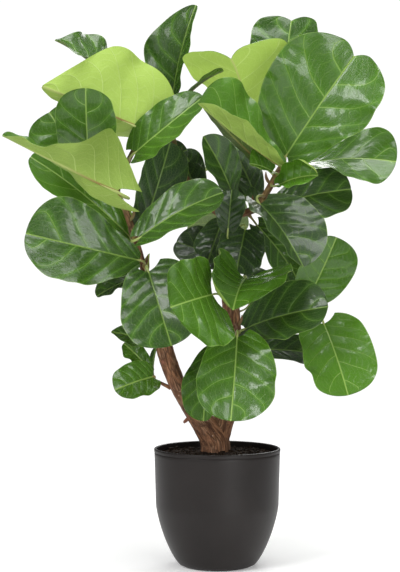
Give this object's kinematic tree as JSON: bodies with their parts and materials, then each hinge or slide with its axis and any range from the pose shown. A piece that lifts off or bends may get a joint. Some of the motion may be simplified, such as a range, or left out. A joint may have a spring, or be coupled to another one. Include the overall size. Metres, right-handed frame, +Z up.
{
  "type": "potted plant",
  "caption": "Branching indoor fig bush with large fiddle-shaped leaves, two woody stems rising from soil in a round matt charcoal planter.",
  "frame": {"origin": "middle of the planter's flat base", "axes": "+Z up along the planter, and -Y towards the side that shows best; +X is to the right seen from there"},
  "size_m": [0.79, 0.6411, 1.203],
  "materials": {
    "leaf_green": "gloss",
    "leaf_bright": "satin",
    "leaf_dark": "satin",
    "bark": "matte",
    "pot": "satin",
    "soil": "matte"
  },
  "bodies": {
    "root": {"back_shoot": "bark", "centre_shoot": "bark", "front_twig": "bark", "leaf_back_left": "leaf_green", "leaf_back_low": "leaf_green", "leaf_back_right": "leaf_green", "leaf_centre_dark": "leaf_dark", "leaf_centre_fan": "leaf_green", "leaf_centre_hanging": "leaf_green", "leaf_centre_long": "leaf_green", "leaf_centre_round": "leaf_dark", "leaf_centre_striped": "leaf_green", "leaf_front_cup": "leaf_bright", "leaf_front_low": "leaf_green", "leaf_front_low_rear": "leaf_green", "leaf_front_wavy": "leaf_bright", "leaf_left_back_high": "leaf_green", "leaf_left_broad": "leaf_green", "leaf_left_glossy_upright": "leaf_green", "leaf_left_long": "leaf_green", "leaf_left_low_curled": "leaf_bright", "leaf_left_low_muted": "leaf_green", "leaf_left_low_round": "leaf_green", "leaf_left_lowest": "leaf_bright", "leaf_left_pale_high": "leaf_bright", "leaf_left_pale_low": "leaf_bright", "leaf_left_pale_under": "leaf_bright", "leaf_left_rear_round": "leaf_green", "leaf_left_small_low": "leaf_green", "leaf_right_back_high": "leaf_green", "leaf_right_dark_low": "leaf_dark", "leaf_right_dark_side": "leaf_dark", "leaf_right_hanging": "leaf_green", "leaf_right_largest": "leaf_green", "leaf_right_lowest": "leaf_bright", "leaf_right_olive_low": "leaf_green", "leaf_right_reaching": "leaf_green", "leaf_right_round": "leaf_bright", "leaf_right_trough": "leaf_bright", "leaf_right_under_trough": "leaf_dark", "leaf_right_young_cup": "leaf_bright", "leaf_right_young_folded": "leaf_bright", "leaf_shade_centre": "leaf_dark", "leaf_shade_left": "leaf_dark", "leaf_shade_low": "leaf_dark", "leaf_shade_middle": "leaf_dark", "leaf_shade_right": "leaf_dark", "leaf_shade_tip": "leaf_dark", "leaf_top_narrow": "leaf_green", "leaf_top_pale_heart": "leaf_bright", "leaf_top_upright": "leaf_green", "left_shoot": "bark", "left_twig": "bark", "pot": "pot", "right_shoot": "bark", "right_stem": "bark", "right_twig": "bark", "soil": "soil", "trunk": "bark"}
  },
  "joints": []
}
